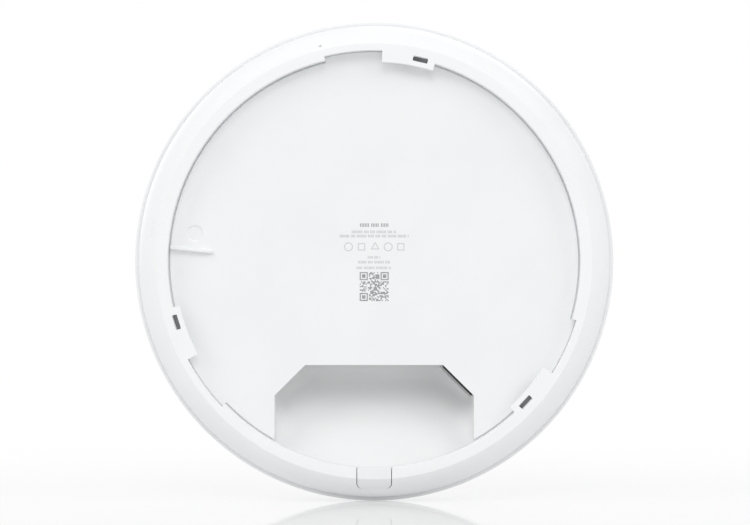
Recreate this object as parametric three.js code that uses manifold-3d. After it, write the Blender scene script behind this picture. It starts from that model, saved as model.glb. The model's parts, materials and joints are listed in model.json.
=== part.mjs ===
// A round ceiling access point, 206 mm across and 46 mm deep, built from its separate pieces.
// Millimetres. It stands on its edge as it does on a wall: +Z is up, and the mounting side faces -Y.
// The origin is the middle of the recessed back plate's outer face, where the mounting bracket seats.
// Places on a circle are given by a radius and a bearing: degrees clockwise from +Z, seen from behind.
import * as THREE from "three";
import { mergeVertices } from "three/addons/utils/BufferGeometryUtils.js";
import Module from "manifold-3d";

const wasm = await Module();
wasm.setup();

// ---------- driving dimensions ----------
const GAP = 0.3; // left between pieces that touch
const OVERALL_R = 103; // outer radius of the front cover
const OVERALL_DEPTH = 46;
const RECESS_DEPTH = 6; // from the rim's back face to the back plate
const RIM_Y = -RECESS_DEPTH;
const FRONT_Y = OVERALL_DEPTH - RECESS_DEPTH;

// rear rim
const RECESS_R = 88; // inner wall of the rim
const FACE_R = 92.8; // outer edge of the rim's flat back face
const SEAM_R = 101.4; // where the rim meets the front cover
const RIM_WALL = 3;
const SHELL = 2.2; // wall of the outer shells
const BEVEL_FROM = 30; // slope of the bevel at the face, and at the seam, in degrees
const BEVEL_TO = 85;
const LIP_R = 99; // upstand that the front cover snaps over
const LIP_WALL = 1.6;
const LIP_Y = 11;

// bayonet: three tabs that the mounting bracket turns under, each after an entry notch
const TAB_COUNT = 3;
const TAB_R = 84.9;
const TAB_THICK = 2;
const TAB_FROM = 2.2;
const TAB_TO = 17.1;
const NOTCH_R = 89.9;
const NOTCH_FROM = -13.7;
const CORE_SLOT = { r: 88.15, bearing: 12.9, long: 6.4, wide: 2.2 }; // goes right through rim and plate

// small openings in the rim
const PINHOLE = { r: 94.5, bearing: -14.1, hole: 0.6 };
const RELEASE_SLOT = { r: 95.5, bearing: -81.9, long: 6.2, wide: 0.7 };

// cable gate in the rim's lowest point
const GATE_HALF = 7.25;
const GATE_GAP = 0.4;
const GATE_BOTTOM = 97;
const GATE_CORNER = 2.2;

// back plate
const PLATE_R = 95;
const SEAT_R = RECESS_R - 0.5; // inside this the plate stands up between the rim's walls
const PLATE_THICK = 2;
const PLATE_SCREW_R = 91.6;
const PLATE_SCREW_BEARINGS = [35, 90, 142, 218, 262, 325];
const STOP_RIB = { from: [-87, 6], to: [-68.3, 4], wide: 1.4, high: 2.6, ramp: 7 };
const DIMPLE = { x: -76.6, z: 12, r: 3.4, depth: 0.5 };

// cable well: an opening with two cut corners and a floor that rises towards the rim
const WELL = { top: -44.4, halfTop: 29.5, halfWide: 42.6, cornerZ: -57.4, r: 88.6 };
const WELL_WALL = 1.6;
const WELL_DEEP_Y = 25;
const WELL_SHALLOW_Y = 6.2;

// printed circuit board and its posts
const BOARD_Y = 16;
const BOARD_THICK = 1.6;
const BOARD_FRONT_Y = BOARD_Y + BOARD_THICK;
const BOARD_R = 84;
const POST_R = 79;
const POST_BEARINGS = [45, 85, 125, 235, 275, 315];
const SCREW = { shank: 1.25, head: 2.4, headHigh: 1.7 };

// light ring
const LIGHT_R = 18;
const LIGHT_WALL = 1.6;
const LIGHT_BASE_Y = 20.3;

// fan, on the rear of the board inside the heat sink
const FAN = { z: 42, half: 20, y0: 2.9, y1: 12.9, duct: 18.6, hub: 8, blades: 7 };
const SINK = { halfWide: 50, z0: -10, z1: 68, y0: 10, y1: 13, finTop: 2.6, finPitch: 4.4, finThick: 1.2 };

const ROUND = 60; // sides of the large round pieces
const SMALL_ROUND = 20;

// ---------- materials ----------
function finish(color, roughness, metalness = 0) {
  return new THREE.MeshStandardMaterial({ color, roughness, metalness });
}
const whitePlastic = finish(0xf3f4f5, 0.45);
const whitePaint = finish(0xf1f2f4, 0.5);
const lightPlastic = finish(0xf6f8fb, 0.25);
const blackPlastic = finish(0x17181a, 0.5);
const boardGreen = finish(0x1c4a38, 0.4);
const tinPlate = finish(0xb9bcbf, 0.3, 1);
const castAluminium = finish(0x9fa3a6, 0.5, 1);
const gold = finish(0xcaa04a, 0.25, 1);
const padGrey = finish(0x8fa0ad, 0.9);
const screwSteel = finish(0x8c8f92, 0.35, 1);

// ---------- solids from three.js geometry ----------
function solid(geometry) {
  geometry.deleteAttribute("normal");
  geometry.deleteAttribute("uv");
  const merged = mergeVertices(geometry, 1e-4);
  return new wasm.Manifold(
    new wasm.Mesh({
      numProp: 3,
      vertProperties: merged.attributes.position.array,
      triVerts: new Uint32Array(merged.index.array),
    }),
  );
}

function geometryOf(piece) {
  const mesh = piece.getMesh();
  const geometry = new THREE.BufferGeometry();
  geometry.setAttribute("position", new THREE.BufferAttribute(mesh.vertProperties, 3));
  geometry.setIndex(new THREE.BufferAttribute(mesh.triVerts, 1));
  geometry.computeVertexNormals();
  return geometry;
}

function polar(radius, bearing) {
  const a = THREE.MathUtils.degToRad(bearing);
  return [radius * Math.sin(a), radius * Math.cos(a)];
}

// A body of revolution about Y from a closed list of [radius, y], in either direction.
function turned(profile, sides = ROUND) {
  const area = profile.reduce((sum, [r, y], i) => {
    const [nextR, nextY] = profile[(i + 1) % profile.length];
    return sum + r * nextY - nextR * y;
  }, 0);
  const ordered = area > 0 ? profile : [...profile].reverse();
  const points = [...ordered, ordered[0]].map(([r, y]) => new THREE.Vector2(r, y));
  return solid(new THREE.LatheGeometry(points, sides));
}

// A shape drawn in X and Z, pushed through from y0 to y1.
function prism(shape, y0, y1, curveSegments = SMALL_ROUND) {
  const geometry = new THREE.ExtrudeGeometry(shape, { depth: y1 - y0, bevelEnabled: false, curveSegments });
  return solid(geometry.rotateX(Math.PI / 2).translate(0, y1, 0));
}

function outline(points) {
  return new THREE.Shape(points.map(([x, z]) => new THREE.Vector2(x, z)));
}

function rod([x, z], radius, y0, y1, sides = SMALL_ROUND) {
  return solid(new THREE.CylinderGeometry(radius, radius, y1 - y0, sides).translate(x, (y0 + y1) / 2, z));
}

function block([x0, x1], [y0, y1], [z0, z1]) {
  const box = new THREE.BoxGeometry(x1 - x0, y1 - y0, z1 - z0);
  return solid(box.translate((x0 + x1) / 2, (y0 + y1) / 2, (z0 + z1) / 2));
}

function ringSector(r0, r1, from, to, y0, y1) {
  const start = Math.PI / 2 - THREE.MathUtils.degToRad(to);
  const end = Math.PI / 2 - THREE.MathUtils.degToRad(from);
  const shape = new THREE.Shape();
  shape.absarc(0, 0, r1, start, end, false);
  shape.absarc(0, 0, r0, end, start, true);
  return prism(shape, y0, y1, 8);
}

// A box on the rim: long across the radius, wide along it.
function rimBox({ r, bearing, long, wide }, y0, y1) {
  const [x, z] = polar(r, bearing);
  const box = new THREE.BoxGeometry(long, y1 - y0, wide);
  box.rotateY(THREE.MathUtils.degToRad(bearing)).translate(x, (y0 + y1) / 2, z);
  return solid(box);
}

function joined(pieces) {
  return pieces.reduce((whole, piece) => whole.add(piece));
}

function turn(angle, list) {
  return list.map((bearing) => bearing + angle);
}

const tabTurns = Array.from({ length: TAB_COUNT }, (_, i) => (i * 360) / TAB_COUNT);

// ---------- the object ----------
const accessPoint = new THREE.Group();

function add(name, piece, material) {
  const mesh = new THREE.Mesh(geometryOf(piece), material);
  mesh.name = name;
  accessPoint.add(mesh);
}

// ---------- rear rim ----------
const rad = THREE.MathUtils.degToRad;
const bevelR = (SEAM_R - FACE_R) / (Math.sin(rad(BEVEL_TO)) - Math.sin(rad(BEVEL_FROM)));
const bevelCentre = [FACE_R - bevelR * Math.sin(rad(BEVEL_FROM)), RIM_Y + bevelR * Math.cos(rad(BEVEL_FROM))];
const SEAM_Y = bevelCentre[1] - bevelR * Math.cos(rad(BEVEL_TO));

// Points of the bevel's arc, or of one inside it, between two slopes.
function bevelArc(inset, from, to, steps) {
  return Array.from({ length: steps + 1 }, (_, i) => {
    const slope = rad(from + ((to - from) * i) / steps);
    return [
      bevelCentre[0] + (bevelR - inset) * Math.sin(slope),
      bevelCentre[1] - (bevelR - inset) * Math.cos(slope),
    ];
  });
}

// The slope at which the inner arc of the shell crosses a radius.
function slopeAt(radius) {
  return THREE.MathUtils.radToDeg(Math.asin((radius - bevelCentre[0]) / (bevelR - SHELL)));
}

const LIP_INNER = LIP_R - LIP_WALL;
const rimProfile = [
  [RECESS_R, 0],
  [RECESS_R, RIM_Y],
  ...bevelArc(0, BEVEL_FROM, BEVEL_TO, 5),
  [LIP_R, SEAM_Y],
  [LIP_R, LIP_Y],
  [LIP_INNER, LIP_Y],
  ...bevelArc(SHELL, slopeAt(LIP_INNER), slopeAt(RECESS_R + RIM_WALL), 3),
  [RECESS_R + RIM_WALL, 0],
];
const plainRim = turned(rimProfile);
const SHELL_INSIDE_Y = 2; // the bevel's shell is cut through down to here

function gateOpening(grow) {
  const half = GATE_HALF + grow;
  const bottom = -(GATE_BOTTOM + grow);
  const corner = GATE_CORNER;
  const shape = new THREE.Shape();
  shape.moveTo(-half, -RECESS_R + 4);
  shape.lineTo(-half, bottom + corner);
  shape.absarc(-half + corner, bottom + corner, corner, Math.PI, 1.5 * Math.PI, false);
  shape.absarc(half - corner, bottom + corner, corner, 1.5 * Math.PI, 2 * Math.PI, false);
  shape.lineTo(half, -RECESS_R + 4);
  return shape;
}

function coreSlot(angle, y0, y1) {
  return rimBox({ ...CORE_SLOT, bearing: CORE_SLOT.bearing + angle }, y0, y1);
}

const HOOK_BEARINGS = turn(30, [0, 60, 120, 180, 240, 300]);
const HOOK_HALF = 4; // degrees
const HOOK_DEPTH = 1.4;
const HOOK_HIGH = 1.4;

function rearRim() {
  const added = [];
  const cut = [];
  for (const angle of tabTurns) {
    added.push(ringSector(TAB_R, RECESS_R + 1, TAB_FROM + angle, TAB_TO + angle, RIM_Y, RIM_Y + TAB_THICK));
    cut.push(ringSector(TAB_R - 1, NOTCH_R, NOTCH_FROM + angle, TAB_FROM + angle, RIM_Y - 1, 1));
    cut.push(coreSlot(angle, RIM_Y - 1, 1));
  }
  for (const bearing of PLATE_SCREW_BEARINGS) {
    const at = polar(PLATE_SCREW_R, bearing);
    added.push(rod(at, 2.8, RIM_Y + 1.7, 0));
    cut.push(rod(at, 1.2, RIM_Y + 2.4, 1, 12));
  }
  for (const bearing of HOOK_BEARINGS) {
    const [from, to] = [bearing - HOOK_HALF, bearing + HOOK_HALF];
    added.push(ringSector(LIP_R - 0.4, LIP_R + HOOK_DEPTH, from, to, LIP_Y - HOOK_HIGH, LIP_Y));
  }
  const pinAt = polar(PINHOLE.r, PINHOLE.bearing);
  added.push(rod(pinAt, 2.8, -3.2, 4.4));
  cut.push(rod(pinAt, 1.6, -1.9, 5));
  cut.push(rod(pinAt, PINHOLE.hole, RIM_Y - 1, -1, 16));
  cut.push(rimBox(RELEASE_SLOT, RIM_Y - 1, 2));
  // the release slot goes on through the inner wall, so a thin tool reaches the bracket's latch
  cut.push(rimBox({ ...RELEASE_SLOT, r: RECESS_R + 2, wide: 11 }, -3.2, -2.2));
  cut.push(prism(gateOpening(GATE_GAP), RIM_Y - 1, SHELL_INSIDE_Y));
  return joined([plainRim, ...added]).subtract(joined(cut));
}
add("rear_rim", rearRim(), whitePlastic);

// ---------- cable gate ----------
function cableGate() {
  const skin = plainRim.intersect(prism(gateOpening(0), RIM_Y - 1, SHELL_INSIDE_Y));
  const legZ = [-(RECESS_R + RIM_WALL + 1.6), -(RECESS_R + RIM_WALL - 0.2)];
  const legs = [-1, 1].map((side) => {
    const x = [side * 4.6, side * 6.2].sort((a, b) => a - b);
    return block(x, [RIM_Y + 1.6, 2.6], legZ);
  });
  return joined([skin, ...legs]);
}
add("cable_gate", cableGate(), whitePlastic);

// ---------- cable well ----------
// The well's outline in X and Z, grown outwards by a margin, down to a circle about the origin.
function wellOutline(grow, bottomR) {
  const cornerShift = grow * Math.tan(Math.PI / 8);
  const topX = WELL.halfTop + cornerShift;
  const sideX = WELL.halfWide + grow;
  const topZ = WELL.top + grow;
  const cornerZ = WELL.cornerZ + cornerShift;
  const reach = Math.asin(sideX / bottomR);
  const shape = new THREE.Shape();
  shape.moveTo(-topX, topZ);
  shape.lineTo(-sideX, cornerZ);
  shape.absarc(0, 0, bottomR, -Math.PI / 2 - reach, -Math.PI / 2 + reach, false);
  shape.lineTo(sideX, cornerZ);
  shape.lineTo(topX, topZ);
  return shape;
}

// The space above the well's floor, which is deep at the top and rises in a smooth wave to the rim.
function aboveFloor(extraDepth) {
  const zTop = WELL.top + 8;
  const zBottom = -WELL.r - 4;
  const steps = 9;
  const curve = Array.from({ length: steps + 1 }, (_, i) => {
    const t = i / steps;
    const rise = 0.5 + 0.5 * Math.cos(Math.PI * t);
    const z = WELL.top + (-WELL.r - WELL.top) * t;
    return [z, WELL_SHALLOW_Y + (WELL_DEEP_Y - WELL_SHALLOW_Y) * rise + extraDepth];
  });
  const above = RIM_Y - 2;
  const points = [
    [zTop, above],
    [zTop, curve[0][1]],
    ...curve,
    [zBottom, curve[steps][1]],
    [zBottom, above],
  ];
  const wide = 2 * WELL.halfWide + 20;
  const shape = new THREE.Shape(points.map(([z, y]) => new THREE.Vector2(-z, y)));
  const geometry = new THREE.ExtrudeGeometry(shape, { depth: wide, bevelEnabled: false });
  return solid(geometry.rotateY(Math.PI / 2).translate(-wide / 2, 0, 0));
}

// Places things in the jack's own axes: local -Z out of the mouth, X across it, origin on the cut corner.
const JACK_AT = [(WELL.halfTop + WELL.halfWide) / 2, (WELL.top + WELL.cornerZ) / 2];
const JACK_TURN = Math.PI / 4;
function inJackAxes(geometry) {
  return solid(geometry.rotateY(JACK_TURN).translate(JACK_AT[0], 0, JACK_AT[1]));
}
function jackBlock([x0, x1], [y0, y1], [z0, z1]) {
  const box = new THREE.BoxGeometry(x1 - x0, y1 - y0, z1 - z0);
  return inJackAxes(box.translate((x0 + x1) / 2, (y0 + y1) / 2, (z0 + z1) / 2));
}
const JACK = { half: 7.8, y0: 3.1, y1: 15.3, long: 17, flangeHalf: 8.6, proud: 0.85 };
const JACK_SHIELD = { thick: 0.4, slack: 0.2 };
const SILL = { proud: 2.2, y: 16 };

function cableWell() {
  const plateBack = PLATE_THICK + GAP;
  const inside = prism(wellOutline(0, WELL.r), RIM_Y - 1, WELL_DEEP_Y + 9, 12).intersect(aboveFloor(0));
  const outside = prism(wellOutline(WELL_WALL, WELL.r + WELL_WALL), plateBack, WELL_DEEP_Y + 9, 12);
  const flange = prism(wellOutline(5.5, WELL.r + WELL_WALL), plateBack, plateBack + WELL_WALL, 12);
  const endWall = prism(wellOutline(-GAP, WELL.r + WELL_WALL), 0, plateBack + 1, 12);
  const sill = jackBlock([-JACK.flangeHalf, JACK.flangeHalf], [SILL.y, WELL_DEEP_Y], [-SILL.proud, 1]);
  const shell = joined([outside.intersect(aboveFloor(WELL_WALL)), flange, endWall]);
  const mouthHalf = JACK.flangeHalf + GAP;
  const mouth = jackBlock([-mouthHalf, mouthHalf], [0, JACK.y1 + 0.6], [-1, 9]);
  return shell.subtract(inside).subtract(mouth).add(sill.intersect(aboveFloor(WELL_WALL)));
}
add("cable_well", cableWell(), whitePlastic);

// ---------- Ethernet jack ----------
const MOUTH = { half: 5.9, y0: 5.2, y1: 12.2, deep: 13, keyHalf: 3.2, keyY: 14 };
const FLANGE_FRONT = 0.35; // the flange's inner side, along the plug's way in

function jackHousing() {
  const body = jackBlock([-JACK.half, JACK.half], [JACK.y0, JACK.y1], [-JACK.proud, JACK.long]);
  const flange = jackBlock(
    [-JACK.flangeHalf, JACK.flangeHalf],
    [PLATE_THICK + GAP, JACK.y1 + 0.3],
    [-JACK.proud, FLANGE_FRONT],
  );
  const { half, y0, y1, deep, keyHalf, keyY } = MOUTH;
  const plugHole = jackBlock([-half, half], [y0, y1], [-2, deep]);
  const keyHole = jackBlock([-keyHalf, keyHalf], [y1 - 1, keyY], [-2, deep - 3]);
  return body.add(flange).subtract(plugHole).subtract(keyHole);
}
add("jack_housing", jackHousing(), blackPlastic);

function jackShield() {
  const { thick, slack } = JACK_SHIELD;
  const inner = JACK.half + slack;
  const outer = inner + thick;
  const y0 = JACK.y0 - slack;
  const y1 = JACK.y1 + slack;
  const front = FLANGE_FRONT + slack;
  const back = JACK.long + slack;
  const shell = jackBlock([-outer, outer], [y0 - thick, y1 + 0.1], [front, back + thick]);
  return shell.subtract(jackBlock([-inner, inner], [y0, y1 + 1], [front - 1, back]));
}
add("jack_shield", jackShield(), tinPlate);

// Eight spring contacts that lean into the plug hole from its rear side.
const CONTACT_COUNT = 8;
const CONTACT_PITCH = 1.02;
for (let i = 0; i < CONTACT_COUNT; i += 1) {
  const wire = 0.35;
  const path = [
    [12.7, 5.5],
    [9.5, 5.5],
    [4.5, 7.6],
    [4.5, 7.6 + wire],
    [9.6, 5.5 + wire],
    [12.7, 5.5 + wire],
  ];
  const shape = new THREE.Shape(path.map(([z, y]) => new THREE.Vector2(-z, y)));
  const strip = new THREE.ExtrudeGeometry(shape, { depth: wire, bevelEnabled: false });
  strip.rotateY(Math.PI / 2).translate((i - (CONTACT_COUNT - 1) / 2) * CONTACT_PITCH - wire / 2, 0, 0);
  add("jack_contact_" + (i + 1), inJackAxes(strip), gold);
}

// ---------- back plate ----------
function stopRib() {
  const [[x0, z0], [x1, z1]] = [STOP_RIB.from, STOP_RIB.to];
  const long = Math.hypot(x1 - x0, z1 - z0);
  const side = outline([
    [0, 0.5],
    [0, -STOP_RIB.high],
    [long - STOP_RIB.ramp, -STOP_RIB.high],
    [long, 0],
    [long, 0.5],
  ]);
  const geometry = new THREE.ExtrudeGeometry(side, { depth: STOP_RIB.wide, bevelEnabled: false });
  geometry.translate(0, 0, -STOP_RIB.wide / 2).rotateY(-Math.atan2(z1 - z0, x1 - x0));
  return solid(geometry.translate(x0, 0, z0));
}

function backPlate() {
  const posts = [];
  const cut = [prism(wellOutline(0, PLATE_R + 5), -1, PLATE_THICK + 1, 12)];
  for (const bearing of POST_BEARINGS) {
    const at = polar(POST_R, bearing);
    posts.push(rod(at, 3.4, PLATE_THICK - 0.5, BOARD_Y - GAP, 12));
    cut.push(rod(at, SCREW.shank + 0.15, 7, BOARD_Y + 1, 8));
  }
  for (const bearing of PLATE_SCREW_BEARINGS) {
    cut.push(rod(polar(PLATE_SCREW_R, bearing), 1.35, -1, PLATE_THICK + 1, 10));
  }
  for (const angle of tabTurns) cut.push(coreSlot(angle, -1, PLATE_THICK + 1));
  cut.push(rod(polar(PINHOLE.r, PINHOLE.bearing), 3.2, -1, PLATE_THICK + 1));
  cut.push(rod([DIMPLE.x, DIMPLE.z], DIMPLE.r, -1, DIMPLE.depth));
  const flange = rod([0, 0], PLATE_R, GAP, PLATE_THICK, ROUND);
  const seat = rod([0, 0], SEAT_R, 0, PLATE_THICK, ROUND);
  return joined([flange, seat, stopRib(), ...posts]).subtract(joined(cut));
}
add("back_plate", backPlate(), whitePaint);

// A pan-head screw whose head sits on headY and whose shank runs towards -Y or +Y.
function screw(at, headY, tipY, { shank, head, headHigh } = SCREW) {
  const away = Math.sign(headY - tipY);
  const headEnd = headY + away * headHigh;
  const sorted = (a, b) => [Math.min(a, b), Math.max(a, b)];
  const [h0, h1] = sorted(headY, headEnd);
  const [s0, s1] = sorted(tipY, headY + away * 0.2);
  const [c0, c1] = sorted(headEnd + away, headEnd - away * headHigh * 0.5);
  const [x, z] = at;
  const cross = [
    block([x - head * 0.6, x + head * 0.6], [c0, c1], [z - 0.25, z + 0.25]),
    block([x - 0.25, x + 0.25], [c0, c1], [z - head * 0.6, z + head * 0.6]),
  ];
  return rod(at, head, h0, h1, 12).add(rod(at, shank, s0, s1, 8)).subtract(joined(cross));
}

const PLATE_SCREW = { shank: 1, head: 2, headHigh: 1.4 };
PLATE_SCREW_BEARINGS.forEach((bearing, i) => {
  const at = polar(PLATE_SCREW_R, bearing);
  add("plate_screw_" + (i + 1), screw(at, PLATE_THICK + 0.1, RIM_Y + 3, PLATE_SCREW), screwSteel);
});

// ---------- main board ----------
const RESET_TONGUE = { bearing: PINHOLE.bearing, r: 88, long: 12, wide: 20.4 }; // carries the reset switch
const SINK_SCREWS = [
  [-46, -5],
  [46, 63],
];

function mainBoard() {
  const tongue = rimBox(RESET_TONGUE, BOARD_Y, BOARD_FRONT_Y);
  const cut = [prism(wellOutline(2.2, BOARD_R + 5), BOARD_Y - 1, BOARD_FRONT_Y + 1, 12)];
  for (const bearing of POST_BEARINGS) {
    cut.push(rod(polar(POST_R, bearing), SCREW.shank + 0.25, BOARD_Y - 1, BOARD_FRONT_Y + 1, 10));
  }
  for (const at of SINK_SCREWS) {
    cut.push(rod(at, SCREW.shank + 0.25, BOARD_Y - 1, BOARD_FRONT_Y + 1, 10));
  }
  cut.push(rod([0, FAN.z], FAN.duct, BOARD_Y - 1, BOARD_FRONT_Y + 1, 36));
  return rod([0, 0], BOARD_R, BOARD_Y, BOARD_FRONT_Y, 60).add(tongue).subtract(joined(cut));
}
add("main_board", mainBoard(), boardGreen);

POST_BEARINGS.forEach((bearing, i) => {
  add("board_screw_" + (i + 1), screw(polar(POST_R, bearing), BOARD_FRONT_Y + 0.1, 8), screwSteel);
});

// ---------- heat sink with its chips and pads ----------
const CHIP_Y = [BOARD_Y - GAP - 1.1, BOARD_Y - GAP];
const PAD_Y = [SINK.y1 + 0.2, CHIP_Y[0] - 0.2];

function heatSink() {
  const base = block([-SINK.halfWide, SINK.halfWide], [SINK.y0, SINK.y1], [SINK.z0, SINK.z1]);
  const fins = [];
  for (let z = SINK.z0 + 2; z < SINK.z1 - 1; z += SINK.finPitch) {
    fins.push(
      block([-SINK.halfWide + 1, SINK.halfWide - 1], [SINK.finTop, SINK.y0 + 0.5], [z, z + SINK.finThick]),
    );
  }
  const bosses = SINK_SCREWS.map((at) => rod(at, 3, SINK.y1 - 0.5, BOARD_Y - GAP, 16));
  const pilots = SINK_SCREWS.map((at) => rod(at, SCREW.shank + 0.15, SINK.y0 + 1, BOARD_Y + 1, 12));
  const window = FAN.half + 0.6;
  const fanWindow = block([-window, window], [0, BOARD_Y], [FAN.z - window, FAN.z + window]);
  return joined([base, ...fins, ...bosses]).subtract(fanWindow).subtract(joined(pilots));
}
add("heat_sink", heatSink(), castAluminium);
SINK_SCREWS.forEach((at, i) => {
  add("heat_sink_screw_" + (i + 1), screw(at, BOARD_FRONT_Y + 0.1, SINK.y0 + 1.6), screwSteel);
});

function square([x, z], half, [y0, y1]) {
  return block([x - half, x + half], [y0, y1], [z - half, z + half]);
}
const SOC_AT = [0, 5];
const RADIO_AT = [-35, 30];
add("soc_chip", square(SOC_AT, 9, CHIP_Y), blackPlastic);
add("soc_pad", square(SOC_AT, 8, PAD_Y), padGrey);
add("radio_chip", square(RADIO_AT, 6.5, CHIP_Y), blackPlastic);
add("radio_pad", square(RADIO_AT, 6, PAD_Y), padGrey);
[-18, 18].forEach((x, i) => {
  add("memory_chip_" + (i + 1), square([x, SOC_AT[1]], 4.5, CHIP_Y), blackPlastic);
});

// ---------- fan ----------
const FAN_AT = [0, FAN.z];
const FAN_HOLE = 16.5;

function fanFrame() {
  const { z, half, y0, y1, duct } = FAN;
  const hubY = y1 - 1.4;
  const casing = block([-half, half], [y0, y1], [z - half, z + half]).subtract(
    rod(FAN_AT, duct, y0 - 1, y1 + 1, 36),
  );
  const struts = [0, 120, 240].map((angle) => {
    const strut = new THREE.BoxGeometry(2, y1 - hubY, duct - FAN.hub + 3);
    strut.translate(0, 0, (duct + FAN.hub) / 2).rotateY(rad(angle));
    return solid(strut.translate(0, (y1 + hubY) / 2, z));
  });
  const hub = rod(FAN_AT, FAN.hub + 0.5, hubY, y1, 24);
  const bore = rod(FAN_AT, 1.1, y0, hubY + 0.2, SMALL_ROUND);
  const bearing = rod(FAN_AT, 2.4, y0 + 3, hubY + 0.5, 16).subtract(bore);
  const holes = [-FAN_HOLE, FAN_HOLE].flatMap((x) =>
    [-FAN_HOLE, FAN_HOLE].map((dz) => rod([x, z + dz], 1.5, y0 - 1, y1 + 1, 12)),
  );
  return joined([casing, ...struts, hub]).subtract(bore).add(bearing).subtract(joined(holes));
}
add("fan_frame", fanFrame(), blackPlastic);

// A blade from the hub to near the duct, whose pitch eases off towards the tip.
function blade(angle) {
  const [root, tip] = [FAN.hub - 0.5, FAN.duct - 0.6];
  const geometry = new THREE.BoxGeometry(0.8, 8.2, tip - root, 1, 1, 3);
  geometry.translate(0, 0, (root + tip) / 2);
  const at = geometry.attributes.position;
  for (let i = 0; i < at.count; i += 1) {
    const share = (at.getZ(i) - root) / (tip - root);
    const pitch = rad(38 + 16 * share);
    const [x, y] = [at.getX(i), at.getY(i)];
    at.setXY(i, x * Math.cos(pitch) - y * Math.sin(pitch), x * Math.sin(pitch) + y * Math.cos(pitch));
  }
  return solid(geometry.rotateY(rad(angle)).translate(0, FAN.y0 + 4.4, FAN.z));
}

function fanRotor() {
  const top = FAN.y0 + 0.4;
  const cup = rod(FAN_AT, FAN.hub, top, top + 7.2, 24);
  const shaft = rod(FAN_AT, 1, top + 0.5, FAN.y1 - 1.5, SMALL_ROUND);
  const blades = Array.from({ length: FAN.blades }, (_, i) => blade((i * 360) / FAN.blades));
  const inside = rod(FAN_AT, FAN.hub - 1, top + 1, top + 8, 24);
  return joined([cup, ...blades]).subtract(inside).add(shaft);
}
add("fan_rotor", fanRotor(), blackPlastic);

[-1, 1].forEach((side, i) => {
  const at = [side * FAN_HOLE, FAN.z + side * FAN_HOLE];
  const small = { shank: 1.2, head: 2.3, headHigh: 1.4 };
  add("fan_screw_" + (i + 1), screw(at, FAN.y1 + 0.1, FAN.y0 + 0.5, small), screwSteel);
});

// ---------- reset button under the pinhole ----------
const RESET_AT = polar(PINHOLE.r, PINHOLE.bearing);
const RESET_TIP_Y = -1.5;
const SWITCH_Y = 12;

function resetPlunger() {
  const stem = rod(RESET_AT, 1.25, RESET_TIP_Y, SWITCH_Y - 1, 20);
  const collar = rod(RESET_AT, 2.4, 4.7, 5.9, 20);
  return stem.add(collar);
}
function resetSwitch() {
  const body = rimBox({ ...PINHOLE, long: 6, wide: 6 }, SWITCH_Y, BOARD_Y - GAP);
  return body.subtract(rod(RESET_AT, 2, SWITCH_Y - 1, SWITCH_Y + 1.6, 20));
}
add("reset_plunger", resetPlunger(), whitePlastic);
add("switch_actuator", rod(RESET_AT, 1.7, SWITCH_Y - 0.8, SWITCH_Y + 1, 20), blackPlastic);
add("reset_switch", resetSwitch(), blackPlastic);

// ---------- front of the board: shield cans, power parts, antennas ----------
const ON_BOARD_Y = BOARD_FRONT_Y + GAP;

function shieldCan([x0, x1], [z0, z1]) {
  const high = 3.4;
  const sheet = 0.5;
  const can = block([x0, x1], [ON_BOARD_Y, ON_BOARD_Y + high], [z0, z1]);
  const inside = block(
    [x0 + sheet, x1 - sheet],
    [ON_BOARD_Y - 1, ON_BOARD_Y + high - sheet],
    [z0 + sheet, z1 - sheet],
  );
  const vents = [];
  for (let x = x0 + 5; x < x1 - 3; x += 5) {
    vents.push(rod([x, (z0 + z1) / 2], 1, ON_BOARD_Y, ON_BOARD_Y + high + 1, 8));
  }
  return can.subtract(inside).subtract(joined(vents));
}
add("shield_can_left", shieldCan([-54, -26], [-38, -9]), tinPlate);
add("shield_can_right", shieldCan([27, 51], [-29, -3]), tinPlate);

function transformer() {
  const core = block([26, 44], [ON_BOARD_Y, ON_BOARD_Y + 11], [6, 22]);
  const windings = [
    block([28, 42], [ON_BOARD_Y + 3, ON_BOARD_Y + 8], [3, 25]),
    block([24.5, 45.5], [ON_BOARD_Y, ON_BOARD_Y + 1.6], [7, 21]),
  ];
  return joined([core, ...windings]);
}
add("poe_transformer", transformer(), blackPlastic);
add("power_inductor", square([56, 2], 4.5, [ON_BOARD_Y, ON_BOARD_Y + 5]), castAluminium);
add("bulk_capacitor", rod([-40, 8], 5, ON_BOARD_Y, ON_BOARD_Y + 12), castAluminium);

// A package with a row of bent leads along two sides, drawn about its middle.
function leadedChip([x, z], [halfX, halfZ], high, leadCount) {
  const body = block([x - halfX, x + halfX], [ON_BOARD_Y + 0.3, ON_BOARD_Y + high], [z - halfZ, z + halfZ]);
  const pitch = (2 * halfX) / leadCount;
  const reach = halfZ + 1;
  const leads = Array.from({ length: leadCount }, (_, i) => {
    const middle = x - halfX + pitch * (i + 0.5);
    return block([middle - 0.25, middle + 0.25], [ON_BOARD_Y, ON_BOARD_Y + 0.7], [z - reach, z + reach]);
  });
  return joined([body, ...leads]);
}
add("flash_memory", leadedChip([0, -33], [4, 2.6], 1.8, 8), blackPlastic);
add("lan_transformer", leadedChip([54, -37], [6, 3.8], 3.4, 10), blackPlastic);

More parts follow.
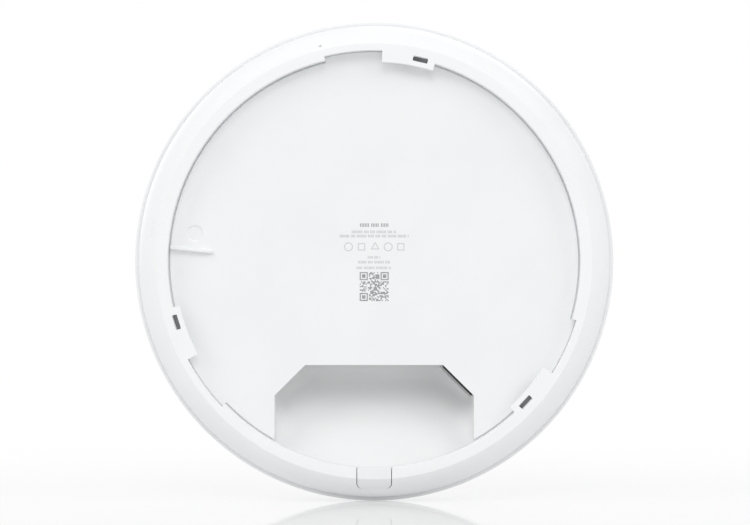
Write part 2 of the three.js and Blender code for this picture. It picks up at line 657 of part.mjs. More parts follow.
// A stamped strip antenna: foot, upright and a top plate with one slot, pointing at the middle.
function antenna(bearing, { reach, wide, high }) {
  const sheet = 0.5;
  const y0 = ON_BOARD_Y;
  const y1 = y0 + high;
  const side = [
    [0, y0],
    [0, y1],
    [-reach, y1],
    [-reach, y1 - 4],
    [-reach + sheet, y1 - 4],
    [-reach + sheet, y1 - sheet],
    [-sheet, y1 - sheet],
    [-sheet, y0 + sheet],
    [-4, y0 + sheet],
    [-4, y0],
  ];
  const geometry = new THREE.ExtrudeGeometry(outline(side), { depth: wide, bevelEnabled: false });
  const strip = solid(geometry.translate(0, 0, -wide / 2));
  const slot = block([-reach + 4, -4], [y1 - 1, y1 + 1], [-0.8, 0.8]);
  const [x, z] = polar(74, bearing);
  const turnBy = 90 - bearing;
  return strip
    .subtract(slot)
    .rotate([0, -turnBy, 0])
    .translate([x, 0, z]);
}
const LOW_BAND = { reach: 22, wide: 11, high: 10 };
const HIGH_BAND = { reach: 14, wide: 8, high: 7.5 };
[22, 65, 105, 255, 295, 338].forEach((bearing, i) => {
  add("antenna_" + (i + 1), antenna(bearing, i % 2 ? HIGH_BAND : LOW_BAND), tinPlate);
});

// ---------- light ring ----------
const LIGHT_INNER = LIGHT_R - LIGHT_WALL;

function ledBoard() {
  const thick = 1.2;
  const board = rod([0, 0], 23, ON_BOARD_Y, ON_BOARD_Y + thick, 40);
  const hole = rod([0, 0], 9, ON_BOARD_Y - 1, ON_BOARD_Y + thick + 1, 32);
  const led = { r: (LIGHT_R + LIGHT_INNER) / 2, long: 2, wide: 1.4 };
  const leds = Array.from({ length: 12 }, (_, i) =>
    rimBox({ ...led, bearing: i * 30 }, ON_BOARD_Y, LIGHT_BASE_Y - GAP),
  );
  return joined([board.subtract(hole), ...leds]);
}
add("led_board", ledBoard(), whitePaint);

const lightProfile = [
  [LIGHT_INNER, LIGHT_BASE_Y],
  [LIGHT_R + 3.5, LIGHT_BASE_Y],
  [LIGHT_R + 3.5, LIGHT_BASE_Y + 1.4],
  [LIGHT_R, LIGHT_BASE_Y + 1.4],
  [LIGHT_R, FRONT_Y - 0.25],
  [LIGHT_INNER, FRONT_Y - 0.25],
];
add("light_guide", turned(lightProfile, 40), lightPlastic);

const capR = LIGHT_INNER - GAP;
const capProfile = [
  [0, FRONT_Y - 0.7],
  [capR * 0.55, FRONT_Y - 0.55],
  [capR - 0.4, FRONT_Y - 0.25],
  [capR, FRONT_Y - 0.6],
  [capR, FRONT_Y - 7],
  [capR - 1.4, FRONT_Y - 7],
  [capR - 1.4, FRONT_Y - 2.6],
  [0, FRONT_Y - 2.6],
];
// The cap's profile ends on the axis at both ends, so it is turned without closing along it.
function turnedOnAxis(profile, sides) {
  const points = [...profile].reverse().map(([r, y]) => new THREE.Vector2(r, y));
  return solid(new THREE.LatheGeometry(points, sides));
}
add("centre_cap", turnedOnAxis(capProfile, 40), whitePlastic);

// ---------- front cover ----------
const COVER_Y = SEAM_Y + 0.5; // the cover's free edge, past a shadow gap
const DOME_Y = 12; // where the side starts to curve over
const DOME_POWER = 2.5;

// Points of the dome from the side to the light ring's hole, at an inset from the outer surface.
function dome(inset, holeR, steps) {
  const radius = OVERALL_R - inset;
  const high = FRONT_Y - DOME_Y - inset;
  const lastT = Math.acos(Math.pow(holeR / radius, DOME_POWER / 2));
  return Array.from({ length: steps + 1 }, (_, i) => {
    const t = (lastT * i) / steps;
    return [
      radius * Math.pow(Math.cos(t), 2 / DOME_POWER),
      DOME_Y + high * Math.pow(Math.sin(t), 2 / DOME_POWER),
    ];
  });
}

function frontCover() {
  const holeR = LIGHT_R + GAP;
  const collarR = holeR + 1.6;
  const profile = [
    [OVERALL_R - SHELL, COVER_Y],
    [OVERALL_R - 0.5, COVER_Y],
    [OVERALL_R, COVER_Y + 0.5],
    ...dome(0, holeR, 8),
    [holeR, FRONT_Y - 12],
    [collarR, FRONT_Y - 12],
    ...dome(SHELL, collarR, 5).reverse(),
  ];
  const catches = HOOK_BEARINGS.map((bearing) =>
    ringSector(
      LIP_R + GAP,
      OVERALL_R - SHELL + 0.5,
      bearing - HOOK_HALF,
      bearing + HOOK_HALF,
      COVER_Y,
      LIP_Y - HOOK_HIGH - GAP,
    ),
  );
  return joined([turned(profile), ...catches]);
}
add("front_cover", frontCover(), whitePlastic);

export default accessPoint;
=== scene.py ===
"""A round ceiling access point that stands on its edge, seen from its mounting side.

Pieces are modelled in millimetres in the frame's own axes: -Y out of the mounting side, +Z up.
Places on a circle are given by a radius and a bearing, in degrees clockwise from +Z as seen from behind.
"""

import json
import math
import random

import bmesh
import bpy
from mathutils import Matrix, Vector
from mathutils.geometry import delaunay_2d_cdt


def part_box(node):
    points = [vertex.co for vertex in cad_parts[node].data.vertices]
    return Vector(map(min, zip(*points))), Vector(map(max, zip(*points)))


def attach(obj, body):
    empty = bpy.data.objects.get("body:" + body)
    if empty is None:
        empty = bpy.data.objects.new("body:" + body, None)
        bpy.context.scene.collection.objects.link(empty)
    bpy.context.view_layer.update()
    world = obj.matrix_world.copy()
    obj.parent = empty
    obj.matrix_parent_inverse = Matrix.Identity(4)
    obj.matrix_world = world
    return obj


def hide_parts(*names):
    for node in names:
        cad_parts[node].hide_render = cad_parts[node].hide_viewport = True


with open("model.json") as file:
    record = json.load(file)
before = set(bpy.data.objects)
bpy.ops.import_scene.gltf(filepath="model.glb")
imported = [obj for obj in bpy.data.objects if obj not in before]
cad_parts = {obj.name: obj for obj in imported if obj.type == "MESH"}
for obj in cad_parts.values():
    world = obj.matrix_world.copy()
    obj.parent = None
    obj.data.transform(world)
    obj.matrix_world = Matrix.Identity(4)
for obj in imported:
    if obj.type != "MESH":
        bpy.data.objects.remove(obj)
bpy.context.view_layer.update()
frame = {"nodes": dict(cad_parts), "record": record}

MM = 0.001


def box_mm(node):
    low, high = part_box(node)
    return Vector(low) / MM, Vector(high) / MM


# ---------- driving dimensions, from the frame where it has them ----------
cover_low, cover_high = box_mm("front_cover")
rim_low, rim_high = box_mm("rear_rim")
_, gate_high = box_mm("cable_gate")
board_low, _ = box_mm("main_board")
light_low, light_high = box_mm("light_guide")

GAP = 0.3  # left between pieces that touch
ROUND = 360  # sides of the large round pieces

# rear rim
RIM_Y = rim_low.y
LIP_Y = rim_high.y
SEAM_R = rim_high.z  # where the rim meets the front cover
RECESS_R = 88  # inner wall of the rim
FACE_R = 92.8  # outer edge of the rim's flat back face
RIM_WALL = 3
SHELL = 2.2  # wall of the outer shells
BEVEL_FROM = 30  # slope of the bevel at the face, and at the seam, in degrees
BEVEL_TO = 85
LIP_R = 99  # upstand that the front cover snaps over
LIP_WALL = 1.6
CATCH_BEARINGS = [30 + 60 * i for i in range(6)]
CATCH_HALF = 4  # degrees
CATCH_HIGH = 1.4
CATCH_PROUD = 1.4

# bayonet: three tabs that a bracket turns under, each after an entry notch
TAB_TURNS = (0, 120, 240)
TAB_R = 84.9
TAB_THICK = 2
TAB_FROM = 2.2
TAB_TO = 17.1
NOTCH_R = 89.9
NOTCH_FROM = -13.7
NOTCH_Y = 1  # the notches and slots are cut into the rim down to here, past the tabs
TAB_SLOT = {"r": 88.15, "bearing": 12.9, "long": 6.4, "wide": 2.2}
TAB_SLOT_CORNER = 0.35

# small openings in the rim, each from the bevel's face down to a blind end
PIN_R = 94.5
PIN_BEARING = -14.1
PIN_HOLE = 0.6
PIN_FACE_Y = -5.2
RELEASE_SLOT = {"r": 95.5, "bearing": -81.9, "long": 6.2, "wide": 0.7}
RELEASE_FACE_Y = -4.9
BLIND_Y = -3.9

# cable gate in the rim's lowest point
GATE_HALF = gate_high.x
GATE_BOTTOM = 97
GATE_CORNER = 2.2
GATE_GAP = 0.3
GATE_CUT_Y = 2
LEG_X = (4.6, 6.2)

# back plate
PLATE_R = 95
PLATE_THICK = 2
SEAT_R = RECESS_R + 0.02  # the plate fills the recess from wall to wall
EDGE_GROOVE = 0.75  # the plate's edge falls away against the rim's wall
SLOT_FLOOR_Y = 1.7  # the slots in the tabs go on into the plate down to here
# the dark grey floors in the tab slots are painted shade, and this thick
SLOT_FLOOR_THICK = 0.25
RIB_FROM = Vector((-87, 6))
RIB_TO = Vector((-68.3, 4))
RIB_WIDE = 1.8
RIB_HIGH = 2.6
RIB_RAMP = 5.5
RIB_EASE = 0.8  # below 1, the ramp is steeper at its foot
RIB_POWER = 0.45  # below 1, the section is squarer than a half round
DIMPLE_AT = Vector((-76.6, 12))
DIMPLE_R = 3.4
DIMPLE_DEPTH = 0.5
PIN_NOTCH_R = 3.2  # clears the reset plunger
POST_R = 79
POST_BEARINGS = (45, 85, 125, 235, 275, 315)
POST_HALF = 3.4
BORE_R = 1.4
BORE_Y = 7

# cable well: an opening with two cut corners and a floor that rises towards the rim
WELL_TOP = -44.4
WELL_HALF_TOP = 29.5
WELL_HALF = 42.6
WELL_CORNER = -57.4
WELL_R = 88.6
WELL_WALL = 1.6
WELL_FLANGE = 5.5
WELL_DEEP_Y = 25
WELL_SHALLOW_Y = 6.2
WELL_FILLET = 8
WELL_FILLET_SHARE = 0.6  # how much of the wall's height the fillet may take
WELL_SHADE_SPAN = (-72, -45)  # heights between which painted shade darkens the well's plastic towards its deep upper end
WELL_GRID = Vector((4, 1.5))  # spacing of the floor's points, across and up
WELL_GRID_INSET = 1.2

# front cover and light ring
OVERALL_R = cover_high.z
COVER_Y = cover_low.y
FRONT_Y = 40
DOME_Y = 12
DOME_POWER = 2.5
DOME_EASE = 1.6  # packs the profile's points towards the edge
COLLAR_DEEP = 12
COLLAR_WALL = 1.6
LIGHT_R = 18
LIGHT_WALL = 1.6
LIGHT_FOOT = 3.5
LIGHT_FOOT_THICK = 1.4
CAP_DEEP = 7
CAP_WALL = 2.6
CAP_SIDE = 1.4
CAP_SUNK = 0.45  # the cap lies this much lower than the light ring
CAP_DISH = 0.12  # and its middle lies this much lower than its edge


# ---------- outlines and profiles ----------
NEARLY_STRAIGHT = math.radians(88)  # half of a corner's angle, past which it is not rounded off
MITRE_LIMIT = 0.3  # keeps a sharp corner from running away when an outline is grown


def polar(radius, bearing):
    a = math.radians(bearing)
    return Vector((radius * math.sin(a), radius * math.cos(a)))


PIN_AT = polar(PIN_R, PIN_BEARING)


def disc(at, radius, step):
    """A full circle about a point, with a corner every so many degrees."""
    return [at + polar(radius, -a) for a in range(0, 360, step)]


def arc(radius, start, end, step=1.0):
    """Points on a circle about the origin, both ends included."""
    count = max(2, round(abs(end - start) / step))
    return [polar(radius, start + (end - start) * i / count) for i in range(count + 1)]


def rounded(points, radii, steps):
    """A closed outline whose corners are rounded off, to one radius or each to its own."""
    result = []
    for i, corner in enumerate(points):
        corner = Vector(corner)
        radius = radii[i] if isinstance(radii, (list, tuple)) else radii
        to_last = (Vector(points[i - 1]) - corner).normalized()
        to_next = (Vector(points[(i + 1) % len(points)]) - corner).normalized()
        half = to_last.angle(to_next) / 2
        if radius <= 0 or half > NEARLY_STRAIGHT:
            result.append(corner)
            continue
        centre = corner + (to_last + to_next).normalized() * (radius / math.sin(half))
        start = corner + to_last * (radius / math.tan(half)) - centre
        sweep = start.angle_signed(corner + to_next * (radius / math.tan(half)) - centre)
        for k in range(steps + 1):
            turn = Matrix.Rotation(-sweep * k / steps, 2)
            result.append(centre + turn @ start)
    return result


def inside(point, loop):
    """Whether the point lies inside the outline, by counting the edges to its right."""
    crossings = False
    for a, b in zip(loop, loop[1:] + loop[:1]):
        if (a.y > point.y) != (b.y > point.y):
            if point.x < a.x + (b.x - a.x) * (point.y - a.y) / (b.y - a.y):
                crossings = not crossings
    return crossings


def signed_area(loop):
    return sum(a.x * b.y - b.x * a.y for a, b in zip(loop, loop[1:] + loop[:1])) / 2


def offset(loop, grow):
    """The outline moved outwards by grow, point for point."""
    side = 1 if signed_area(loop) > 0 else -1
    result = []
    for i, here in enumerate(loop):
        before = (here - loop[i - 1]).normalized()
        after = (loop[(i + 1) % len(loop)] - here).normalized()
        normal_a = Vector((before.y, -before.x)) * side
        normal_b = Vector((after.y, -after.x)) * side
        middle = (normal_a + normal_b).normalized()
        result.append(here + middle * (grow / max(MITRE_LIMIT, middle.dot(normal_a))))
    return result


def subdivided(loop, longest):
    """The same outline with points added, so that no side is longer than this."""
    result = []
    for here, there in zip(loop, loop[1:] + loop[:1]):
        count = max(1, math.ceil((there - here).length / longest))
        result += [here.lerp(there, i / count) for i in range(count)]
    return result


def quarter(radius):
    """How far a rounded-over edge stands back, and how deep: from the face down to the wall."""
    steps = 4
    turns = [math.radians(90 * i / steps) for i in range(steps + 1)]
    return [(radius * (1 - math.sin(a)), radius * (1 - math.cos(a))) for a in turns]


# ---------- meshes ----------
def new_object(name, points, faces):
    """A mesh object with its faces pointing out, and without doubled points."""
    mesh = bpy.data.meshes.new(name)
    mesh.from_pydata([tuple(p) for p in points], [], faces)
    obj = bpy.data.objects.new(name, mesh)
    bpy.context.scene.collection.objects.link(obj)
    edit = bmesh.new()
    edit.from_mesh(mesh)
    bmesh.ops.remove_doubles(edit, verts=edit.verts, dist=1e-5)
    bmesh.ops.dissolve_degenerate(edit, edges=edit.edges, dist=1e-6)
    bmesh.ops.recalc_face_normals(edit, faces=edit.faces)
    edit.to_mesh(mesh)
    edit.free()
    return obj


def turned(name, profile, sides=ROUND):
    """A solid of revolution about Y from a closed list of (radius, y)."""
    points = []
    for i in range(sides):
        a = 2 * math.pi * i / sides
        points += [(r * math.sin(a), y, r * math.cos(a)) for r, y in profile]
    n = len(profile)
    faces = []
    for i in range(sides):
        here, there = i * n, (i + 1) % sides * n
        faces += [(here + k, here + (k + 1) % n, there + (k + 1) % n, there + k) for k in range(n)]
    return new_object(name, points, faces)


def layered(name, loop, levels):
    """A solid through copies of one outline, each grown by its own amount at its own height."""
    points = []
    for grow, y in levels:
        ring = offset(loop, grow) if grow else loop
        points += [(p.x, y, p.y) for p in ring]
    n = len(loop)
    faces = [tuple(range(n)), tuple(range(len(points) - n, len(points)))]
    for layer in range(len(levels) - 1):
        here, there = layer * n, (layer + 1) * n
        faces += [(here + k, here + (k + 1) % n, there + (k + 1) % n, there + k) for k in range(n)]
    return new_object(name, points, faces)


def cutter(loop, face_y, end_y, edge):
    """A cutting tool into a face that looks to -Y, which leaves the edge of the cut rounded over."""
    levels = [(edge, face_y - 2)]
    levels += [(grow, face_y + depth) for grow, depth in quarter(edge)]
    levels += [(0, end_y)]
    return layered("cutter", loop, levels)


def soft_block(name, low, high, edge):
    """A block with rounded edges all round, in X and Z and towards both ends of Y."""
    (x0, y0, z0), (x1, y1, z1) = low, high
    loop = rounded([(x0, z0), (x1, z0), (x1, z1), (x0, z1)], edge, 4)
    levels = [(-back, y0 + depth) for back, depth in quarter(edge)]
    levels += [(-back, y1 - depth) for back, depth in reversed(quarter(edge))]
    return layered(name, loop, levels)


def rim_box_loop(spec, corner):
    """A rectangle on the rim: long along the rim, wide across it."""
    x, z = spec["long"] / 2, spec["wide"] / 2
    turn = Matrix.Rotation(-math.radians(spec["bearing"]), 2)
    at = polar(spec["r"], spec["bearing"])
    corners = [at + turn @ Vector(p) for p in ((-x, -z), (x, -z), (x, z), (-x, z))]
    return rounded(corners, corner, 4)


def sector_loop(r0, r1, start, end, radii):
    """Part of a ring, with the corners in the order inner start, outer start, outer end, inner end."""
    inner, outer = arc(r0, start, end), arc(r1, start, end)
    loop = outer + inner[::-1]
    corners = {0: radii[1], len(outer) - 1: radii[2], len(outer): radii[3], len(loop) - 1: radii[0]}
    return rounded(loop, [corners.get(i, 0) for i in range(len(loop))], 4)


def bake(obj):
    """Makes the object's modifiers part of its mesh."""
    graph = bpy.context.evaluated_depsgraph_get()
    mesh = bpy.data.meshes.new_from_object(obj.evaluated_get(graph))
    old = obj.data
    obj.modifiers.clear()
    obj.data = mesh
    bpy.data.meshes.remove(old)


def combine(obj, tool, operation):
    """Joins or cuts with another closed solid, which is used up."""
    modifier = obj.modifiers.new("combine", "BOOLEAN")
    modifier.operation = operation
    modifier.solver = "MANIFOLD"
    modifier.object = tool
    bake(obj)
    bpy.data.objects.remove(tool)


def cut(obj, *tools):
    for tool in tools:
        combine(obj, tool, "DIFFERENCE")


def join(obj, *tools):
    for tool in tools:
        combine(obj, tool, "UNION")


def place(obj, matrix):
    obj.data.transform(matrix)
    return obj


def smooth(obj, angle):
    """Shades the mesh smooth between its sharp edges, with its flat faces kept flat."""
    obj.data.shade_smooth()
    obj.data.set_sharp_from_angle(angle=math.radians(angle))
    weighted = obj.modifiers.new("weighted normals", "WEIGHTED_NORMAL")
    weighted.keep_sharp = True
    weighted.weight = 80


def piece(obj, name, body, material, nodes=(), angle=32):
    """Finishes a piece: real units, shading, material, and what it rides on and stands for."""
    obj.name = name
    obj.data.name = name
    obj.data.transform(Matrix.Scale(MM, 4))
    smooth(obj, angle)
    obj.data.materials.clear()
    obj.data.materials.append(material)
    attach(obj, body)
    if nodes:
        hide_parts(*nodes)
    return obj


# ---------- materials ----------
class Nodes:
    """A material's node tree with a short way to add and join nodes."""

    def __init__(self, name):
        self.material = bpy.data.materials.new(name)
        self.material.use_nodes = True
        self.tree = self.material.node_tree
        self.tree.nodes.clear()
        self.shader = self.add("ShaderNodeBsdfPrincipled")
        output = self.add("ShaderNodeOutputMaterial")
        self.tree.links.new(self.shader.outputs["BSDF"], output.inputs["Surface"])
        self.coords = self.add("ShaderNodeTexCoord").outputs["Object"]

    def add(self, kind, **values):
        node = self.tree.nodes.new(kind)
        for key, value in values.items():
            setattr(node, key, value)
        return node

    def link(self, source, target):
        self.tree.links.new(source, target)

    def noise(self, scale, detail, roughness=0.5, stretch=None):
        node = self.add("ShaderNodeTexNoise")
        node.inputs["Scale"].default_value = scale
        node.inputs["Detail"].default_value = detail
        node.inputs["Roughness"].default_value = roughness
        source = self.coords
        if stretch:
            mapping = self.add("ShaderNodeMapping")
            mapping.inputs["Scale"].default_value = stretch
            self.link(self.coords, mapping.inputs["Vector"])
            source = mapping.outputs["Vector"]
        self.link(source, node.inputs["Vector"])
        return node.outputs["Fac"]

    def spread(self, source, low, high, from_low=0.3, from_high=0.7, kind="LINEAR"):
        node = self.add("ShaderNodeMapRange", interpolation_type=kind)
        node.inputs["From Min"].default_value = from_low
        node.inputs["From Max"].default_value = from_high
        node.inputs["To Min"].default_value = low
        node.inputs["To Max"].default_value = high
        self.link(source, node.inputs["Value"])
        return node.outputs["Result"]

    def blend(self, factor, first, second):
        node = self.add("ShaderNodeMix", data_type="RGBA")
        self.link(factor, node.inputs["Factor"])
        for socket, value in ((node.inputs["A"], first), (node.inputs["B"], second)):
            if isinstance(value, (tuple, list)):
                socket.default_value = (*value, 1)
            else:
                self.link(value, socket)
        return node.outputs["Result"]

    def bump(self, height, strength, distance_mm, onto=None):
        node = self.add("ShaderNodeBump")
        node.inputs["Strength"].default_value = strength
        node.inputs["Distance"].default_value = distance_mm * MM
        self.link(height, node.inputs["Height"])
        if onto is not None:
            self.link(onto, node.inputs["Normal"])
        return node.outputs["Normal"]

    def set(self, **values):
        for key, value in values.items():
            self.shader.inputs[key.replace("_", " ")].default_value = value


def shade(color, factor):
    """A lighter or darker version of a colour."""
    return tuple(min(1, c * factor) for c in color)


def moulded(name, color, roughness, grain_mm=0.35, grain=0.25, mottling=0.02, painted_deep_shade=None):
    """Moulded plastic or powder coat: a fine grain, a faint mottling and an uneven gloss.

    The last argument is how much of its lightness the cable well keeps at its deep upper end: painted shade,
    which darkens the well towards its top.
    """
    m = Nodes(name)
    cloudy = m.noise(35, 2)
    grainy = m.noise(1 / (grain_mm * MM), 4, 0.6)
    color_a, color_b = shade(color, 1 - mottling), shade(color, 1 + mottling / 2)
    tone = m.blend(m.spread(cloudy, 0, 1), color_a, color_b)
    tone = m.blend(m.spread(grainy, 0, 0.5), tone, color_b)
    # painted shade: the well's plastic darkens upwards towards its deep end, where shade gathers
    if painted_deep_shade:
        height = m.add("ShaderNodeSeparateXYZ")
        m.link(m.coords, height.inputs["Vector"])
        depth = m.spread(height.outputs["Z"], 0, 1, WELL_SHADE_SPAN[0] * MM, WELL_SHADE_SPAN[1] * MM)
        tone = m.blend(depth, tone, shade(color, painted_deep_shade))
    m.link(tone, m.shader.inputs["Base Color"])
    m.link(m.spread(grainy, roughness - 0.05, roughness + 0.07), m.shader.inputs["Roughness"])
    fine = m.bump(grainy, grain, 0.012)
    m.link(m.bump(m.noise(420, 2), 0.12, 0.03, fine), m.shader.inputs["Normal"])
    m.set(Specular_IOR_Level=0.45)
    return m.material


def metal(name, color, roughness, stretch=None, grain_mm=0.2, grain=0.2):
    """Plated, cast or turned metal, a little tarnished, with a grain that may run one way."""
    tarnish = 0.12
    m = Nodes(name)
    grainy = m.noise(1 / (grain_mm * MM), 4, 0.55, stretch)
    cloudy = m.noise(90, 3)
    tone = m.blend(m.spread(cloudy, 0, 1), shade(color, 1 - tarnish), shade(color, 1 + tarnish / 3))
    m.link(tone, m.shader.inputs["Base Color"])
    m.link(m.spread(grainy, roughness - 0.08, roughness + 0.1), m.shader.inputs["Roughness"])
    m.link(m.bump(grainy, grain, 0.02), m.shader.inputs["Normal"])
    m.set(Metallic=1.0)
    return m.material


def circuit_board(name):
    """Green laminate with copper runs under the solder mask and small plated holes."""
    m = Nodes(name)
    runs = m.add("ShaderNodeTexBrick")
    runs.offset = 0.37
    runs.squash = 0.6
    runs.inputs["Scale"].default_value = 120
    runs.inputs["Mortar Size"].default_value = 0.035
    turned_coords = m.add("ShaderNodeMapping")
    turned_coords.inputs["Rotation"].default_value = (math.pi / 2, 0, 0)
    m.link(m.coords, turned_coords.inputs["Vector"])
    m.link(turned_coords.outputs["Vector"], runs.inputs["Vector"])
    holes = m.add("ShaderNodeTexVoronoi")
    holes.inputs["Scale"].default_value = 190
    m.link(m.coords, holes.inputs["Vector"])
    cloudy = m.noise(60, 3)
    mask = m.blend(m.spread(cloudy, 0, 1), (0.012, 0.07, 0.04), (0.02, 0.1, 0.055))
    tracks = m.blend(runs.outputs["Fac"], mask, (0.035, 0.17, 0.09))
    plated = m.spread(holes.outputs["Distance"], 1, 0, 0.1, 0.13)
    m.link(m.blend(plated, tracks, (0.75, 0.55, 0.24)), m.shader.inputs["Base Color"])
    m.link(m.spread(plated, 0.38, 0.25, 0, 1), m.shader.inputs["Roughness"])
    m.link(m.bump(runs.outputs["Fac"], 0.4, 0.03), m.shader.inputs["Normal"])
    return m.material


WHITE = (0.903, 0.914, 0.923)
WELL_WHITE = (0.864, 0.87, 0.873)
rim_plastic = moulded("rim_plastic", shade(WHITE, 1.012), 0.42)
gate_plastic = moulded("gate_plastic", shade(WHITE, 0.98), 0.4, grain_mm=0.3)
cover_plastic = moulded("cover_plastic", WHITE, 0.36, grain_mm=0.3, grain=0.18)
# the well's plastic, with painted shade at its deep upper end
well_plastic_with_shade = moulded("well_plastic_with_shade", WELL_WHITE, 0.48, grain=0.3, painted_deep_shade=0.86)
plate_paint = moulded("plate_paint", shade(WHITE, 0.985), 0.5, grain_mm=0.5, grain=0.3)
milky_plastic = moulded("milky_plastic", (0.9, 0.93, 0.97), 0.22, grain=0.05, mottling=0.01)
black_plastic = moulded("black_plastic", (0.014, 0.014, 0.016), 0.42, grain=0.35, mottling=0.2)
thermal_pad = moulded("thermal_pad", (0.3, 0.37, 0.42), 0.9, grain_mm=0.4, grain=0.5, mottling=0.08)
# dark grey for the floors of the tab slots: painted shade for their dark depth
slot_shade_floor = moulded("slot_shade_floor", (0.33, 0.335, 0.34), 0.9, grain_mm=0.25, grain=0.5, mottling=0.15)
ink = moulded("ink", (0.34, 0.345, 0.35), 0.6, grain_mm=0.15, grain=0.1, mottling=0.12)
light_ink = moulded("light_ink", (0.52, 0.525, 0.53), 0.6, grain_mm=0.15, grain=0.1, mottling=0.1)
pale_ink = moulded("pale_ink", (0.66, 0.665, 0.675), 0.6, grain_mm=0.15, grain=0.1, mottling=0.08)
tin_plate = metal("tin_plate", (0.72, 0.73, 0.74), 0.3, stretch=(1, 1, 0.04))
cast_aluminium = metal("cast_aluminium", (0.6, 0.61, 0.62), 0.48, grain_mm=0.5, grain=0.5)
gold_contact = metal("gold_contact", (0.85, 0.62, 0.27), 0.22, grain=0.1)
screw_steel = metal("screw_steel", (0.5, 0.5, 0.51), 0.32, stretch=(1, 0.05, 1))
board_laminate = circuit_board("board_laminate")


# ---------- rear rim ----------
BEVEL_R = (SEAM_R - FACE_R) / (math.sin(math.radians(BEVEL_TO)) - math.sin(math.radians(BEVEL_FROM)))
BEVEL_RUN = BEVEL_R * math.sin(math.radians(BEVEL_FROM))
BEVEL_DROP = BEVEL_R * math.cos(math.radians(BEVEL_FROM))
BEVEL_CENTRE = Vector((FACE_R - BEVEL_RUN, RIM_Y + BEVEL_DROP))
SEAM_Y = BEVEL_CENTRE.y - BEVEL_R * math.cos(math.radians(BEVEL_TO))


def bevel_arc(inset, start, end, steps):
    """The bevel's section from one slope to another, moved in by the wall's thickness."""
    radius = BEVEL_R - inset
    slopes = [math.radians(start + (end - start) * i / steps) for i in range(steps + 1)]
    return [BEVEL_CENTRE + Vector((radius * math.sin(s), -radius * math.cos(s))) for s in slopes]


def inner_slope(radius):
    """The slope of the bevel's inner side where it reaches this radius."""
    return math.degrees(math.asin((radius - BEVEL_CENTRE.x) / (BEVEL_R - SHELL)))


def rim_blank(name):
    """The rim's section turned all the way round, which the rim and the gate are both cut from."""
    lip_inner = LIP_R - LIP_WALL
    wall_r = RECESS_R + RIM_WALL
    outer_bevel = bevel_arc(0, BEVEL_FROM, BEVEL_TO, 28)
    inner_bevel = bevel_arc(SHELL, inner_slope(lip_inner), inner_slope(wall_r), 10)
    corners = [(RECESS_R, 0), (RECESS_R, RIM_Y), *outer_bevel]
    corners += [(LIP_R, SEAM_Y), (LIP_R, LIP_Y), (lip_inner, LIP_Y), *inner_bevel, (wall_r, 0)]
    radii = [0] * len(corners)
    radii[1] = 0.35  # the recess's edge
    radii[2] = 0.12  # where the flat face meets the bevel
    radii[1 + len(outer_bevel)] = 0.2  # the bevel's edge at the seam
    return turned(name, rounded(corners, radii, 4))


def gate_loop(side_gap, end_gap):
    """The gate's outline, grown by its gap at the sides and at the bottom."""
    half = GATE_HALF + side_gap
    bottom = -(GATE_BOTTOM + end_gap)
    top = -RECESS_R + 4
    corners = [(-half, top), (-half, bottom), (half, bottom), (half, top)]
    return rounded(corners, [0, GATE_CORNER, GATE_CORNER, 0], 6)


def bracket_tab(turn):
    """One tab, rounded over along its edges."""
    loop = sector_loop(TAB_R, RECESS_R + 1, TAB_FROM + turn, TAB_TO + turn, (0.25, 0, 0, 0.35))
    levels = [(-back, RIM_Y + depth) for back, depth in quarter(0.2)]
    levels += [(-back, RIM_Y + TAB_THICK - depth) for back, depth in reversed(quarter(0.3))]
    return layered("tab", loop, levels)


def slot_spec(turn):
    """The slot in the tab at this turn round the rim."""
    return {**TAB_SLOT, "bearing": TAB_SLOT["bearing"] + turn}


def snap_catch(bearing, r0, r1, y0, y1):
    """A plain catch between two radii and two depths."""
    loop = sector_loop(r0, r1, bearing - CATCH_HALF, bearing + CATCH_HALF, (0, 0, 0, 0))
    return layered("catch", loop, [(0, y0), (0, y1)])


def build_rim():
    """The rim with its tabs, notches, slots, small openings, gate opening and catches."""
    rim = rim_blank("rim")
    for turn in TAB_TURNS:
        join(rim, bracket_tab(turn))
        notch = sector_loop(TAB_R - 3, NOTCH_R, NOTCH_FROM + turn, TAB_FROM + turn, (0, 0.3, 0.3, 0))
        cut(rim, cutter(notch, RIM_Y, NOTCH_Y, 0.25))
        cut(rim, cutter(rim_box_loop(slot_spec(turn), TAB_SLOT_CORNER), RIM_Y, NOTCH_Y, 0.1))
    cut(rim, cutter(disc(PIN_AT, PIN_HOLE, 12), PIN_FACE_Y, BLIND_Y, 0.15))
    cut(rim, cutter(rim_box_loop(RELEASE_SLOT, 0.3), RELEASE_FACE_Y, BLIND_Y, 0.05))
    cut(rim, layered("gate cutter", gate_loop(GATE_GAP, 0.015), [(0, RIM_Y - 2), (0, GATE_CUT_Y)]))
    for bearing in CATCH_BEARINGS:
        join(rim, snap_catch(bearing, LIP_R - 0.4, LIP_R + CATCH_PROUD, LIP_Y - CATCH_HIGH, LIP_Y))
    return piece(rim, "rim_shell", "housing", rim_plastic, ["rear_rim"])


def build_gate():
    """The piece of the rim's section that fills the opening, on two legs."""
    gate = rim_blank("gate")
    outline = layered("gate outline", gate_loop(0, 0), [(0, RIM_Y - 2), (0, GATE_CUT_Y)])
    combine(gate, outline, "INTERSECT")
    wall_z = -(RECESS_R + RIM_WALL)
    for side in (-1, 1):
        x0, x1 = sorted(side * x for x in LEG_X)
        leg = soft_block("leg", (x0, RIM_Y + 1.6, wall_z - 1.6), (x1, gate_high.y, wall_z + 0.2), 0.2)
        join(gate, leg)
    return piece(gate, "cable_gate_cover", "gate", gate_plastic, ["cable_gate"])


